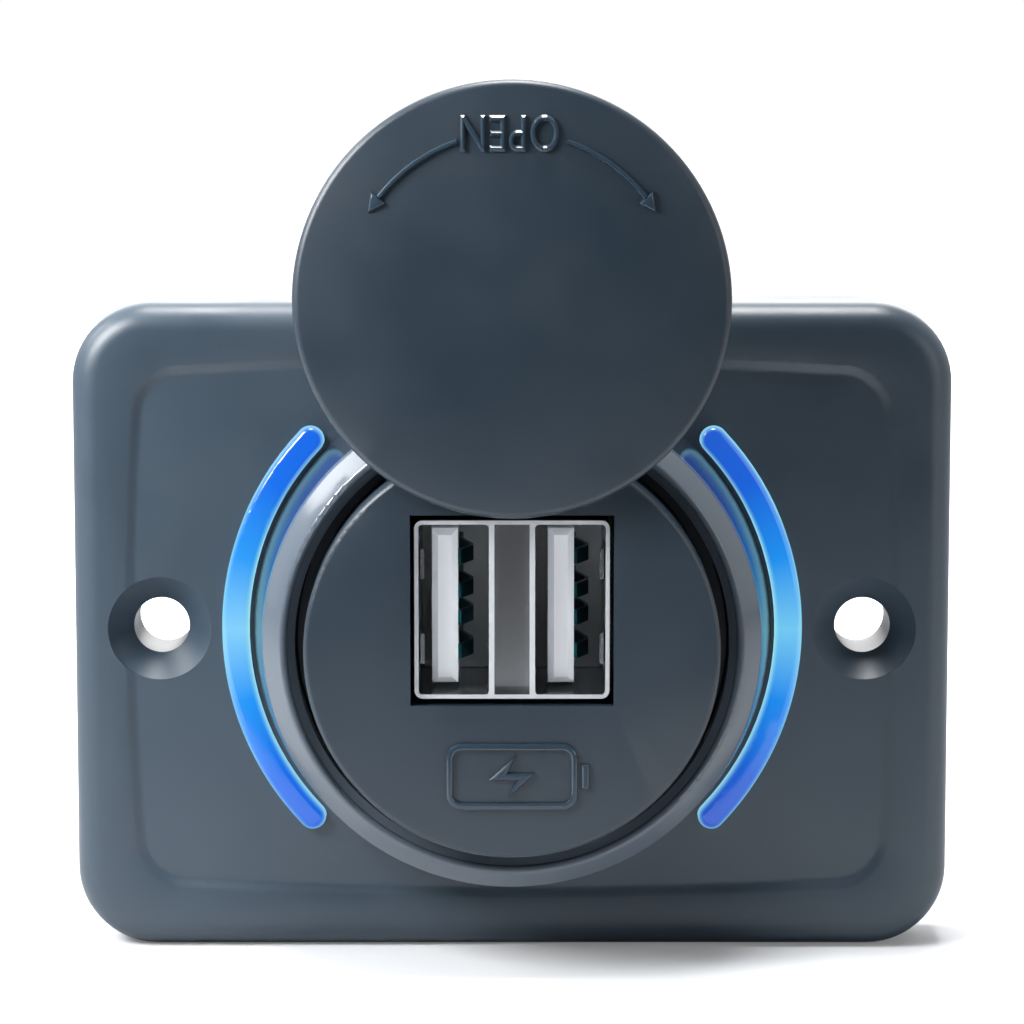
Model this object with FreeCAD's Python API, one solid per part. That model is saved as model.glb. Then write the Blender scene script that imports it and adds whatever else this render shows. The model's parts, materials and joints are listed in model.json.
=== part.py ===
import FreeCAD, Part
import math
import os
from FreeCAD import Vector

# Panel-mounted twin USB socket with a swing cap. Millimetres, +Z up, the front faces -Y.
# The origin is on the socket's axis, in the plane where the plate's back meets the wall.

# Face plate
plate_depth = 7.8
plate_corner = 6.0
plate_edge = 2.0
plate_wall = 2.0
front_wall = 2.4
field_margin = 3.6
field_bow = 0.9
field_corner = 3.0
field_depth = 0.35
field_slope = 1.2
screw_hole_radius = 2.1
countersink_radius = 3.9
boss_radius = 3.6
web_short = 0.9
boss_to_side = 6.5
boss_gap = 0.7
tray_gap = 0.3
rib_thickness = 1.2
rib_height = 3.5
peg_radius = 0.7
post_radius = 1.3
post_angle = 60.0

# Light bars, one each side of the bezel, and their lamps
bar_width = 2.0
lamp_board_inner_gap = 0.4
lamp_board_lap = 0.4
bar_angle = 87.0
bar_proud = 0.75
bar_crown = 0.55
bar_foot_thickness = 1.0
bar_foot_angle = 3.0
loose_fit = 0.05
lamp_board_thickness = 1.0
lamp_height = 1.4
lamp_width = 2.0
lamp_length = 3.5
lamp_gap = 0.15
lamp_window_radius = 0.7
lamp_window_depth = 0.25
resistor_length = 2.0
resistor_width = 1.2
resistor_height = 0.5
resistor_angle = 15.0
lead_radius = 0.6
lead_spacing = 1.7
lead_bend = 1.5
lead_behind_nut = 0.8
lead_from_board_edge = 1.9

# Socket body: bezel, flange and threaded barrel
bezel_gap = 0.3
bezel_lean = 1.1
bezel_wall_height = 6.6
bezel_face_width = 1.85
bezel_face_rise = 2.2
bezel_lip_depth = 1.2
bezel_ledge_width = 0.55
bezel_ledge_rise = 0.5
bezel_floor = 2.0
bezel_edge = 0.35
snap_depth = 0.65
snap_height = 2.5
barrel_wall = 1.35
shell_room = 0.92
barrel_hole_clearance = 0.35
key_width = 2.4
key_height = 1.0
gasket_inset = 0.95
gasket_width = 2.2
gasket_thickness = 0.8
nut_wall = 3.95
nut_thickness = 4.0
nut_clearance = 0.05
nut_notches = 10
nut_notch_radius = 1.5
nut_notch_depth = 3.0

# Face insert, the raised disc
groove_width = 1.35
disc_proud = 11.4
disc_edge = 0.4
insert_skin = 1.8
insert_wall = 1.3
insert_flange_height = 2.4
insert_fit = 0.1
collar_wall = 1.2
collar_end = 5.5
lug_count = 3
lug_width = 4.0

# Twin outlet
port_width = 5.12
port_height = 12.5
port_middle = 3.36
shell_sheet = 0.3
shell_length = 18.4
shell_recess = 0.6
shell_raise = 3.1
middle_sheet = 0.4
middle_recess = 1.2
window_gap_side = 0.3
window_gap_end = 0.45
finger_start = 1.6
finger_width = 2.2
finger_length = 6.0
finger_lean = 0.4
finger_slit = 0.35
tongue_offset = 0.95
tongue_thickness = 1.9
tongue_height = 11.4
tongue_recess = 1.8
tongue_nose = 0.45
port_depth = 11.8
left_block_depth = 4.4
right_block_depth = 2.4
block_gap = 0.05
contact_thickness = 0.25
contact_width = 1.1
contact_bow = 0.85
# Share of the bow, and distance behind the tongue's tip
contact_profile = ((0, 1.1), (1, 3.3), (1, 4.3), (0, 7.6))
contact_tail = 0.6
contact_places = (3.5, 1.0, -1.0, -3.5)

# Main board and what stands on it
board_thickness = 1.2
board_front = 5.0
board_room = 0.475
component_gap = 0.8
coil_room = 2.2
coil_rise = 3.2
chip_row = 5.0
row_gap = 0.2
board_rear_gap = 1.2
tail_hole_gap = 0.1
coil_radius = 4.7
coil_height = 6.0
coil_waist_radius = 3.8
coil_flange = 1.2
can_groove_width = 0.6
can_groove_depth = 0.25
can_groove_place = 1.2
input_capacitor_radius = 4.0
input_capacitor_height = 10.0
output_capacitor_radius = 3.1
output_capacitor_height = 8.5
output_capacitor_ahead = 0.5
chip_size = (1.5, 5.0, 4.0)
rectifier_size = (2.2, 4.4, 2.6)

# Rear cover and blades
cover_thickness = 2.2
cover_spigot = 3.0
cover_spigot_wall = 1.2
cover_fit = 0.1
cover_edge = 0.5
cover_screw_radius = 0.9
cover_screw_head = 1.8
cover_screw_head_height = 1.2
cover_screw_length = 7.0
cover_boss_radius = 1.6
blade_width = 6.3
blade_thickness = 0.8
blade_reach = 9.0
blade_hole_radius = 0.85
blade_tip = 1.2
blade_fit = 0.08
positive_blade_place = 3.0
negative_blade_place = -5.0
positive_leg_depth = 3.0
negative_leg_depth = 5.0
leg_width = 3.0

# Swing cap and its pivot
cap_overlap = 0.55
cap_gap = 0.3
cap_rim = 1.5
cap_dome = 1.1
cap_edge = 0.6
cap_hollow = 0.9
cap_rim_width = 1.5
post_length_gap = 0.65
pivot_margin = 2.8
pivot_to_rim = 2.3
pivot_post_radius = 1.5
pivot_fit = 0.06
pivot_boss_wall = 1.15
pivot_boss_end = 5.0
pivot_hub_radius = 2.6
washer_radius = 2.0
washer_thickness = 0.5
washer_pocket_gap = 0.4
spring_sheet = 0.22
spring_seat_gap = 0.05
pivot_screw_radius = 0.8
pivot_screw_head = 1.7
pivot_screw_head_height = 1.1
pivot_screw_length = 5.5
screw_fit = 0.05
cross_width = 0.4
cross_length = 2.1
cross_depth = 0.6

# Planes along Y, worked out from the sizes above
field_plane = -(plate_depth - field_depth)
wall_back = field_plane + front_wall

# The outlet comes first, and the round parts follow it outwards
shell_width = 2 * (port_width + shell_sheet) + port_middle
shell_height = port_height + 2 * shell_sheet
shell_top = shell_raise + shell_height / 2
barrel_bore = math.hypot(shell_width / 2, shell_top) + shell_room
barrel_radius = barrel_bore + barrel_wall
gasket_inner = barrel_radius + gasket_inset
gasket_outer = gasket_inner + gasket_width
nut_radius = barrel_radius + nut_wall
pivot_height = shell_top + window_gap_end + pivot_margin
disc_radius = pivot_height + pivot_to_rim
cap_radius = disc_radius + cap_overlap
face_inner_radius = disc_radius + groove_width
face_outer_radius = face_inner_radius + bezel_face_width
base_radius = face_outer_radius + bezel_lean
ledge_radius = face_inner_radius - bezel_ledge_width
snap_radius = ledge_radius + snap_depth
bar_radius = base_radius + bezel_gap + bar_width / 2
lamp_board_inner = nut_radius + lamp_board_inner_gap
lamp_board_outer = bar_radius + bar_width / 2 + lamp_board_lap
lamp_board_middle = (lamp_board_inner + lamp_board_outer) / 2
screw_x = lamp_board_outer + boss_gap + boss_radius
plate_width = 2 * (screw_x + boss_to_side)
plate_height = 2 * (lamp_board_outer + tray_gap + plate_wall)
pivot_boss_radius = pivot_post_radius + pivot_fit + pivot_boss_wall

# Heights over the field, from the front backwards
face_height = bezel_wall_height + bezel_face_rise
shell_front = disc_proud - shell_recess
shell_back = shell_front - shell_length
tongue_tip = shell_front - tongue_recess
block_front = shell_front - port_depth
cap_back = disc_proud + cap_gap
post_end = pivot_boss_end - post_length_gap
lamp_board_front = -(front_wall + bar_foot_thickness + lamp_gap + lamp_height)
lamp_board_rear = lamp_board_front - lamp_board_thickness
lead_depth = -(front_wall + nut_thickness + lead_behind_nut)

# The main board's components stand in two rows, and the barrel is as long as they need
board_face = shell_width / 2
board_back = board_face + board_thickness
board_half_height = math.sqrt(barrel_bore ** 2 - board_back ** 2) - board_room
coil_place = (shell_back - coil_room - coil_radius, coil_rise)
input_capacitor_place = (coil_place[0] - coil_radius - component_gap - input_capacitor_radius, coil_rise)
output_capacitor_place = (coil_place[0] + output_capacitor_ahead,
                          coil_rise - coil_radius - row_gap - output_capacitor_radius)
chip_front = output_capacitor_place[0] - output_capacitor_radius - component_gap
chip_place = (chip_front - chip_size[1] / 2, -chip_row)
rectifier_place = (chip_place[0] - chip_size[1] / 2 - component_gap - rectifier_size[1] / 2, -chip_row)
legs_front = input_capacitor_place[0] - input_capacitor_radius - row_gap
barrel_end = legs_front - blade_thickness - negative_leg_depth
board_end = barrel_end + board_rear_gap


def at(height):
    """Y of a place that stands the given height in front of the field."""
    return field_plane - height


def save(name, shape):
    """Write one sub-part, after a look at its solids."""
    solids = shape.Solids
    if not shape.isValid() or not solids:
        print("BAD SHAPE", name)
    kept = solids[0] if len(solids) == 1 else Part.makeCompound(solids)
    kept.exportStep(os.path.join("parts", name + ".step"))
    print(name, "solids", len(solids), "volume", round(sum(s.Volume for s in solids), 2))


def rod(radius, low, high, x=0.0, z=0.0):
    """Round rod along the socket's axis, between two heights over the field."""
    return Part.makeCylinder(radius, high - low, Vector(x, at(high), z), Vector(0, 1, 0))


def ring(outer, inner, low, high, x=0.0, z=0.0):
    """Flat ring about the socket's axis or one parallel to it."""
    return rod(outer, low, high, x, z).cut(rod(inner, low - 1, high + 1, x, z))


def block(x0, x1, z0, z1, low, high):
    """Plain block between two heights over the field."""
    return Part.makeBox(x1 - x0, high - low, z1 - z0, Vector(x0, at(high), z0))


def rounded_corner(before, corner, after, radius):
    """First, middle and last point of the arc that rounds a corner of a path."""
    inward = (before - corner).normalize()
    onward = (after - corner).normalize()
    half = inward.getAngle(onward) / 2
    reach = radius / math.tan(half)
    middle = corner + (inward + onward).normalize() * (radius / math.sin(half) - radius)
    return corner + inward * reach, middle, corner + onward * reach


def path_wire(corners, closed):
    """Wire through corners given as (point, radius); a radius above 0 rounds the corner."""
    edges = []
    ends = []
    for number, (corner, radius) in enumerate(corners):
        first = last = corner
        if radius:
            before = corners[number - 1][0]
            after = corners[(number + 1) % len(corners)][0]
            first, middle, last = rounded_corner(before, corner, after, radius)
        if ends:
            edges.append(Part.LineSegment(ends[-1], first).toShape())
        if radius:
            edges.append(Part.Arc(first, middle, last).toShape())
        ends += [first, last]
    if closed:
        edges.append(Part.LineSegment(ends[-1], ends[0]).toShape())
    return Part.Wire(edges)


def turned(profile):
    """Solid of revolution about the socket's axis from (radius, height) points; a third value rounds one."""
    corners = [(Vector(point[0], at(point[1]), 0), sum(point[2:])) for point in profile]
    return Part.Face(path_wire(corners, True)).revolve(Vector(0, 0, 0), Vector(0, 1, 0), 360)


def round_edges(shape, radius, chosen):
    """Round the edges that the chosen test picks."""
    edges = [edge for edge in shape.Edges if chosen(edge)]
    return shape.makeFillet(radius, edges)


def along_y(edge):
    """Test for a straight edge parallel to the socket's axis."""
    return isinstance(edge.Curve, Part.Line) and abs(abs(edge.tangentAt(edge.FirstParameter).y) - 1) < 1e-6


def rounded_block(width, height, corner, low, high):
    """Block centred on the axis with its four long corners rounded."""
    return round_edges(block(-width / 2, width / 2, -height / 2, height / 2, low, high), corner, along_y)


def mirrored(shape):
    """The same shape on the other side of the socket."""
    return shape.mirror(Vector(0, 0, 0), Vector(1, 0, 0))


def polar(radius, angle):
    """X and Z at a radius and an angle from +X towards +Z."""
    return radius * math.cos(math.radians(angle)), radius * math.sin(math.radians(angle))


def arc_bar(radius, width, angle, low, high):
    """Curved bar on the right with half-round ends, whose centres are the angle apart."""
    band = ring(radius + width / 2, radius - width / 2, low, high)
    reach = radius + width
    half = math.radians(angle / 2)
    corner = Vector(reach * math.cos(half), at(high), reach * math.sin(half)) * 1.5
    corner.y = at(high)
    lower = Vector(corner.x, corner.y, -corner.z)
    tip = Vector(reach * 3, at(high), 0)
    wedge = Part.Face(Part.makePolygon([Vector(0, at(high), 0), lower, tip, corner, Vector(0, at(high), 0)]))
    bar = band.common(wedge.extrude(Vector(0, high - low, 0)))
    for side in (-1, 1):
        x, z = polar(radius, side * angle / 2)
        bar = bar.fuse(rod(width / 2, low, high, x, z))
    return bar.removeSplitter()


def bowed_outline(grow, height):
    """Closed outline of the field's four bowed sides with rounded corners, grown by a distance."""
    w = plate_width / 2 - field_margin - field_bow - field_slope + grow
    h = plate_height / 2 - field_margin - field_bow - field_slope + grow
    y = at(height)
    corners = [Vector(-w, y, -h), Vector(w, y, -h), Vector(w, y, h), Vector(-w, y, h)]
    middles = [Vector(0, y, -h - field_bow), Vector(w + field_bow, y, 0),
               Vector(0, y, h + field_bow), Vector(-w - field_bow, y, 0)]
    sides = [Part.Arc(corners[i], middles[i], corners[(i + 1) % 4]).toShape() for i in range(4)]
    prism = Part.Face(Part.Wire(sides)).extrude(Vector(0, 1, 0))
    prism = round_edges(prism, field_corner + grow, along_y)
    return min(prism.Faces, key=lambda face: face.CenterOfMass.y).OuterWire


def field_cut():
    """The shallow bowed field of the plate, with sides that slope in an easy double curve."""
    steps = ((1.0, 1.0), (0.7, 0.86), (0.3, 0.14), (0.0, 0.0))
    outlines = [bowed_outline(share * field_slope, rise * field_depth) for share, rise in steps]
    return Part.makeLoft(outlines, True, False)


def screw_cut(x):
    """Countersunk screw hole through the plate and its boss."""
    deep = countersink_radius - screw_hole_radius
    cone = Part.makeCone(countersink_radius, screw_hole_radius, deep, Vector(x, at(0), 0), Vector(0, 1, 0))
    lead_in = rod(countersink_radius, 0, 1, x)
    return cone.fuse(lead_in).fuse(rod(screw_hole_radius, -plate_depth, 1, x))


def corner_rib():
    """Stiffening rib from beside the lamp board into the tray's upper right corner."""
    inner_x = plate_width / 2 - plate_wall
    inner_z = plate_height / 2 - plate_wall
    angle = math.degrees(math.atan2(inner_z, inner_x))
    start = lamp_board_outer + boss_gap
    length = math.hypot(inner_x, inner_z) - start
    rib = Part.makeBox(length, rib_height, rib_thickness, Vector(start, wall_back, -rib_thickness / 2))
    rib.rotate(Vector(0, 0, 0), Vector(0, 1, 0), -angle)
    return rib.common(Part.makeBox(inner_x, plate_depth, inner_z, Vector(0, -plate_depth, 0)))


def post_places():
    """X and Z of the four posts that carry the lamp board."""
    angles = (post_angle, 180 - post_angle, 180 + post_angle, -post_angle)
    return [polar(lamp_board_middle, angle) for angle in angles]


def face_plate():
    """Open-backed moulded plate: rounded front, walls, field, slots, bosses, ribs and lamp board posts."""
    front = field_depth
    back = field_plane
    solid = rounded_block(plate_width, plate_height, plate_corner, back, front)
    solid = round_edges(solid, plate_edge, lambda edge: edge.BoundBox.YMax < at(front) + 1e-6)
    hollow_corner = plate_corner - plate_wall
    hollow = rounded_block(plate_width - 2 * plate_wall, plate_height - 2 * plate_wall, hollow_corner,
                           back - 1, -front_wall)
    hollow = round_edges(hollow, hollow_corner / 4, lambda edge: edge.BoundBox.YMax < wall_back + 1e-6)
    plate = solid.cut(hollow).cut(field_cut())
    web_back = back + web_short
    web_end = plate_width / 2 - plate_wall / 2
    for side in (-1, 1):
        boss = rod(boss_radius, back, -front_wall / 2, side * screw_x)
        web = block(min(side * screw_x, side * web_end), max(side * screw_x, side * web_end),
                    -rib_thickness / 2, rib_thickness / 2, web_back, -front_wall / 2)
        plate = plate.fuse(boss).fuse(web)
    rib = corner_rib()
    ribs = [rib, mirrored(rib)]
    ribs += [piece.mirror(Vector(0, 0, 0), Vector(0, 0, 1)) for piece in ribs]
    plate = plate.fuse(ribs)
    for x, z in post_places():
        plate = plate.fuse(rod(post_radius, lamp_board_front, -front_wall, x, z))
        plate = plate.fuse(rod(peg_radius, lamp_board_rear - peg_radius, lamp_board_front, x, z))
    hole = barrel_radius + barrel_hole_clearance
    plate = plate.cut(rod(hole, -plate_depth, 1))
    notch = key_width / 2 + barrel_hole_clearance
    plate = plate.cut(block(-notch, notch, 0, barrel_radius + key_height + barrel_hole_clearance,
                            -front_wall - 1, 1))
    slot = arc_bar(bar_radius, bar_width + 2 * loose_fit, bar_angle, -front_wall - 1, 1)
    plate = plate.cut(slot).cut(mirrored(slot))
    for side in (-1, 1):
        plate = plate.cut(screw_cut(side * screw_x))
    return plate.removeSplitter()


def light_bar():
    """Right light bar: a crowned curved bar that passes the plate, on a wider foot behind it."""
    bar = arc_bar(bar_radius, bar_width, bar_angle, -front_wall, bar_proud)
    bar = round_edges(bar, bar_crown, lambda edge: edge.BoundBox.YMax < at(bar_proud) + 1e-6)
    foot_width = 2 * min(lamp_board_outer - bar_radius, bar_radius - nut_radius - loose_fit)
    foot = arc_bar(bar_radius, foot_width, bar_angle + bar_foot_angle, -front_wall - bar_foot_thickness,
                   -front_wall)
    return bar.fuse(foot).removeSplitter()


def lamp_board():
    """Ring-shaped board round the nut, on four pegs of the plate."""
    board = ring(lamp_board_outer, lamp_board_inner, lamp_board_rear, lamp_board_front)
    for x, z in post_places():
        board = board.cut(rod(peg_radius + loose_fit, lamp_board_rear - 1, lamp_board_front + 1, x, z))
    for side in (-1, 1):
        board = board.cut(lead_hole(side))
    return board


def lead_hole(side):
    """Hole of one lamp lead in the lamp board."""
    return rod(lead_radius + loose_fit, lamp_board_rear - 1, lamp_board_front + 1,
               side * lead_spacing / 2, -lamp_board_middle)


def lamp_diode(side):
    """Blue lamp behind the middle of a light bar: a body with a lens window."""
    x = side * bar_radius
    body = block(x - lamp_width / 2, x + lamp_width / 2, -lamp_length / 2, lamp_length / 2,
                 lamp_board_front, lamp_board_front + lamp_height)
    top = lamp_board_front + lamp_height
    window = rod(lamp_window_radius, top - lamp_window_depth, top + 1, x)
    return body.cut(window)


def lamp_resistors():
    """Two chip resistors on the lamp board, beside the leads."""
    chips = []
    for side in (-1, 1):
        chip = block(-resistor_length / 2, resistor_length / 2, -resistor_width / 2, resistor_width / 2,
                     lamp_board_rear - resistor_height, lamp_board_rear)
        angle = 90 - side * resistor_angle
        x, z = polar(lamp_board_middle, -angle)
        chip.rotate(Vector(0, 0, 0), Vector(0, 1, 0), angle - 90)
        chip.translate(Vector(x, 0, z))
        chips.append(chip)
    return Part.makeCompound(chips)


def lamp_leads():
    """Two wires from the lamp board back, through the barrel's slot and across to the main board."""
    wires = []
    for side in (-1, 1):
        x = side * lead_spacing / 2
        turn = -(board_half_height - lead_from_board_edge) + (1 - side) * lead_spacing / 2
        start = Vector(x, at(lamp_board_front), -lamp_board_middle)
        path = path_wire([(start, 0), (Vector(x, at(lead_depth), -lamp_board_middle), lead_bend),
                          (Vector(x, at(lead_depth), turn), lead_bend),
                          (Vector(board_face, at(lead_depth), turn), 0)], False)
        section = Part.Wire(Part.Circle(start, Vector(0, 1, 0), lead_radius).toShape())
        wires.append(path.makePipeShell([section], True, False))
    return Part.makeCompound(wires)


def socket_body():
    """Bezel, flange and barrel in one moulding, turned, then keyed, slotted and fitted with rails."""
    body = turned([
        (base_radius, 0), (face_outer_radius, bezel_wall_height, bezel_edge),
        (face_inner_radius, face_height, bezel_edge),
        (face_inner_radius, face_height - bezel_lip_depth),
        (ledge_radius, face_height - bezel_lip_depth - bezel_ledge_rise),
        (ledge_radius, bezel_floor + snap_height), (snap_radius, bezel_floor + snap_height),
        (snap_radius, bezel_floor), (barrel_bore, bezel_floor), (barrel_bore, barrel_end),
        (barrel_radius, barrel_end), (barrel_radius, 0), (gasket_inner, 0), (gasket_inner, gasket_thickness),
        (gasket_outer, gasket_thickness), (gasket_outer, 0)])
    key = block(-key_width / 2, key_width / 2, barrel_bore + barrel_wall / 2, barrel_radius + key_height,
                -front_wall, 0)
    body = body.fuse(key)
    slot = lead_spacing / 2 + lead_radius + 2 * loose_fit
    low = lead_depth - lead_radius - loose_fit
    high = lead_depth + lead_radius + loose_fit
    body = body.cut(block(-slot, slot, -barrel_radius - 1, -barrel_bore / 2, low, high))
    rail_start = barrel_end + cover_spigot + 1
    rail_end = shell_back - board_rear_gap
    inside = rod(barrel_radius - barrel_wall / 2, barrel_end, 0)
    for side in (-1, 1):
        near = side * (board_half_height - rib_thickness)
        far = side * barrel_radius
        for x0, x1 in ((board_face - rib_thickness, board_face), (board_back, board_back + rib_thickness)):
            rail = block(x0, x1, min(near, far), max(near, far), rail_start, rail_end)
            body = body.fuse(rail.common(inside))
        body = body.fuse(cover_boss(side))
    for side in (-1, 1):
        hole = rod(cover_screw_radius + screw_fit, barrel_end - 1, barrel_end + cover_screw_length + 1,
                   side * cover_screw_place())
        body = body.cut(hole)
    return body.removeSplitter()


def cover_screw_place():
    """X of the cover's screws, so that their bosses reach the barrel's wall."""
    return barrel_bore + barrel_wall / 2 - cover_boss_radius


def cover_boss(side):
    """Screw boss inside the barrel's wall for the rear cover."""
    inside = rod(barrel_radius - barrel_wall / 2, barrel_end, 0)
    start = barrel_end + cover_spigot + cover_fit
    boss = rod(cover_boss_radius, start, start + cover_screw_length, side * cover_screw_place())
    return boss.common(inside)


def flange_gasket():
    """Flat seal in the flange's groove."""
    return ring(gasket_outer - loose_fit, gasket_inner + loose_fit, 0, gasket_thickness)


def ring_nut():
    """Ring nut behind the plate, with hollows round its rim for a spanner or fingers."""
    back = -front_wall - nut_thickness
    nut = ring(nut_radius, barrel_radius + nut_clearance, back, -front_wall)
    for index in range(nut_notches):
        x, z = polar(nut_radius + nut_notch_radius / 3, 360.0 * index / nut_notches)
        nut = nut.cut(rod(nut_notch_radius, back - 1, back + nut_notch_depth, x, z))
    return nut


def window_sides():
    """Half width and half height of the window round the shell."""
    return shell_width / 2 + window_gap_side, shell_height / 2 + window_gap_end


def face_insert():
    """Raised disc: a shallow cup with the outlet's window, its collar, the pivot boss and three snap lugs."""
    flange_radius = ledge_radius - insert_fit
    bottom = bezel_floor
    step = bottom + insert_flange_height
    outer = turned([(0, disc_proud), (disc_radius, disc_proud, disc_edge), (disc_radius, step),
                    (flange_radius, step), (flange_radius, bottom), (0, bottom)])
    cavity = rod(disc_radius - insert_wall, bottom - 1, disc_proud - insert_skin)
    body = outer.cut(cavity)
    half_w, half_h = window_sides()
    collar = block(-half_w - collar_wall, half_w + collar_wall, shell_raise - half_h - collar_wall,
                   shell_raise + half_h + collar_wall, collar_end, disc_proud - insert_skin / 2)
    neck = rod(disc_radius - insert_wall / 2, bottom, disc_proud - insert_skin / 2)
    body = body.fuse(collar.common(neck))
    boss = rod(pivot_boss_radius, pivot_boss_end, disc_proud - insert_skin / 2, z=pivot_height)
    body = body.fuse(boss.common(neck))
    for index in range(lug_count):
        lug = block(-lug_width / 2, lug_width / 2, flange_radius - insert_wall, snap_radius,
                    bottom, bottom + snap_height - insert_fit)
        lug = lug.common(rod(snap_radius - insert_fit, bottom, bottom + snap_height))
        lug.rotate(Vector(0, 0, 0), Vector(0, 1, 0), 360.0 * index / lug_count + 180)
        body = body.fuse(lug)
    window = block(-half_w, half_w, shell_raise - half_h, shell_raise + half_h, bottom - 1, disc_proud + 1)
    inner = window.common(rod(disc_radius - insert_wall, bottom - 1, disc_proud + 1))
    body = body.cut(inner)
    body = body.cut(rod(pivot_post_radius + pivot_fit, bottom - 1, disc_proud + 1, z=pivot_height))
    pocket = rod(washer_radius + washer_pocket_gap, bottom - 1, pivot_boss_end, z=pivot_height)
    body = body.cut(pocket)
    room_for_board = block(board_face - shell_sheet, board_back + rib_thickness, -barrel_bore, barrel_bore,
                       bottom - 1, collar_end)
    room_for_board = room_for_board.common(rod(disc_radius - insert_wall, bottom - 1, collar_end))
    return body.cut(room_for_board).removeSplitter()


def port_left(index):
    """X of the left inner wall of a port, 0 for the left one and 1 for the right one."""
    return -shell_width / 2 + shell_sheet + index * (port_width + port_middle)


def spring_finger(x, inward, z):
    """Spring finger of the shell: a tongue cut free on three sides and leaning into the port."""
    front = shell_front - finger_start
    root = front - finger_length
    lean = inward * finger_lean
    outside = x - inward * shell_sheet
    low = z - finger_width / 2
    corners = [Vector(x, at(root), low), Vector(outside, at(root), low),
               Vector(outside + lean, at(front), low), Vector(x + lean, at(front), low)]
    finger = Part.Face(Part.makePolygon(corners + corners[:1])).extrude(Vector(0, 0, finger_width))
    opening = block(min(x, outside), max(x, outside), low - finger_slit, low + finger_width + finger_slit,
                    root, front + finger_slit)
    return finger, opening


def usb_shell():
    """Folded metal shell of the twin outlet, with two walls and a sunk strip between the ports."""
    half_w = shell_width / 2
    half_h = shell_height / 2
    z0 = shell_raise - half_h
    z1 = shell_raise + half_h
    outer = block(-half_w, half_w, z0, z1, shell_back, shell_front)
    outer = round_edges(outer, 2 * shell_sheet, along_y)
    shell = outer
    for index in (0, 1):
        x = port_left(index)
        room = block(x, x + port_width, z0 + shell_sheet, z1 - shell_sheet, shell_back + shell_sheet,
                     shell_front + 1)
        room = round_edges(room, shell_sheet, along_y)
        shell = shell.cut(room)
    middle0 = port_left(0) + port_width + middle_sheet
    middle1 = port_left(1) - middle_sheet
    shell = shell.cut(block(middle0, middle1, z0 + shell_sheet, z1 - shell_sheet, shell_front - middle_recess,
                            shell_front + 1))
    shell = shell.cut(block(middle0, middle1, z0 + shell_sheet, z1 - shell_sheet, shell_back + shell_sheet,
                            shell_front - middle_recess - shell_sheet))
    tail_room = block(middle0 - middle_sheet - 1e-3, half_w + 1, z0 + shell_sheet, z1 - shell_sheet,
                      shell_back + shell_sheet, block_front - right_block_depth)
    shell = shell.cut(tail_room.common(outer))
    shell = shell.cut(block(half_w - 2 * shell_sheet, half_w + 1, z0 + 3 * shell_sheet, z1 - 3 * shell_sheet,
                            shell_back - 1, block_front - right_block_depth))
    walls = ((port_left(0), 1), (port_left(1) + port_width, -1))
    for x, inward in walls:
        for z in (shell_raise - port_height / 4, shell_raise + port_height / 4):
            finger, opening = spring_finger(x, inward, z)
            shell = shell.cut(opening).fuse(finger)
    return shell.removeSplitter()


def contact_face(index):
    """X of the tongue's contact face in a port."""
    return port_left(index) + tongue_offset + tongue_thickness


def block_rear(index):
    """Height of the rear of a port's insulator block."""
    return block_front - (left_block_depth, right_block_depth)[index]


def usb_tongue(index):
    """White insulator of one port: a block that fills the port's rear and a tongue with a bevelled nose."""
    x = port_left(index)
    rear = block_rear(index)
    body = block(x + block_gap, x + port_width - block_gap, shell_raise - port_height / 2 + block_gap,
                 shell_raise + port_height / 2 - block_gap, rear, block_front)
    body = round_edges(body, shell_sheet, along_y)
    half = tongue_height / 2
    tongue = block(x + tongue_offset, x + tongue_offset + tongue_thickness, shell_raise - half,
                   shell_raise + half, block_front - tongue_nose, tongue_tip)
    edges = [edge for edge in tongue.Edges if edge.BoundBox.YMax < at(tongue_tip) + 1e-6]
    tongue = tongue.makeChamfer(tongue_nose, edges)
    body = body.fuse(tongue).removeSplitter()
    face = contact_face(index)
    for place in contact_places:
        z = shell_raise + place
        room = contact_width / 2 + block_gap
        body = body.cut(block(face, face + contact_thickness + block_gap, z - room, z + room, rear - 1,
                              block_front + 1))
    return body


def contact(index, place):
    """Spring contact: lies on the tongue, bows out into the port and turns to the board behind the block."""
    face = contact_face(index)
    tail = block_rear(index) - contact_thickness - 2 * block_gap
    outside = board_back + contact_tail
    z = shell_raise + place
    line = [(face + share * contact_bow, tongue_tip - depth) for share, depth in contact_profile]
    line += [(face, tail), (outside, tail)]
    points = [Vector(x, at(height), z - contact_width / 2) for x, height in line]
    inner = [Vector(x, at(height), z - contact_width / 2) for x, height in reversed(offset_line(line))]
    outline = Part.Face(Part.makePolygon(points + inner + points[:1]))
    return outline.extrude(Vector(0, 0, contact_width))


def offset_line(line):
    """The same line moved sideways by the contact's thickness, into the port and towards the front."""
    normals = []
    for (x0, h0), (x1, h1) in zip(line, line[1:]):
        length = math.hypot(x1 - x0, h1 - h0)
        normals.append((-(h1 - h0) / length, (x1 - x0) / length))
    moved = []
    for number, (x, height) in enumerate(line):
        before = normals[max(number - 1, 0)]
        after = normals[min(number, len(normals) - 1)]
        scale = contact_thickness / (1 + before[0] * after[0] + before[1] * after[1])
        moved.append((x + (before[0] + after[0]) * scale, height + (before[1] + after[1]) * scale))
    return moved


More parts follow.
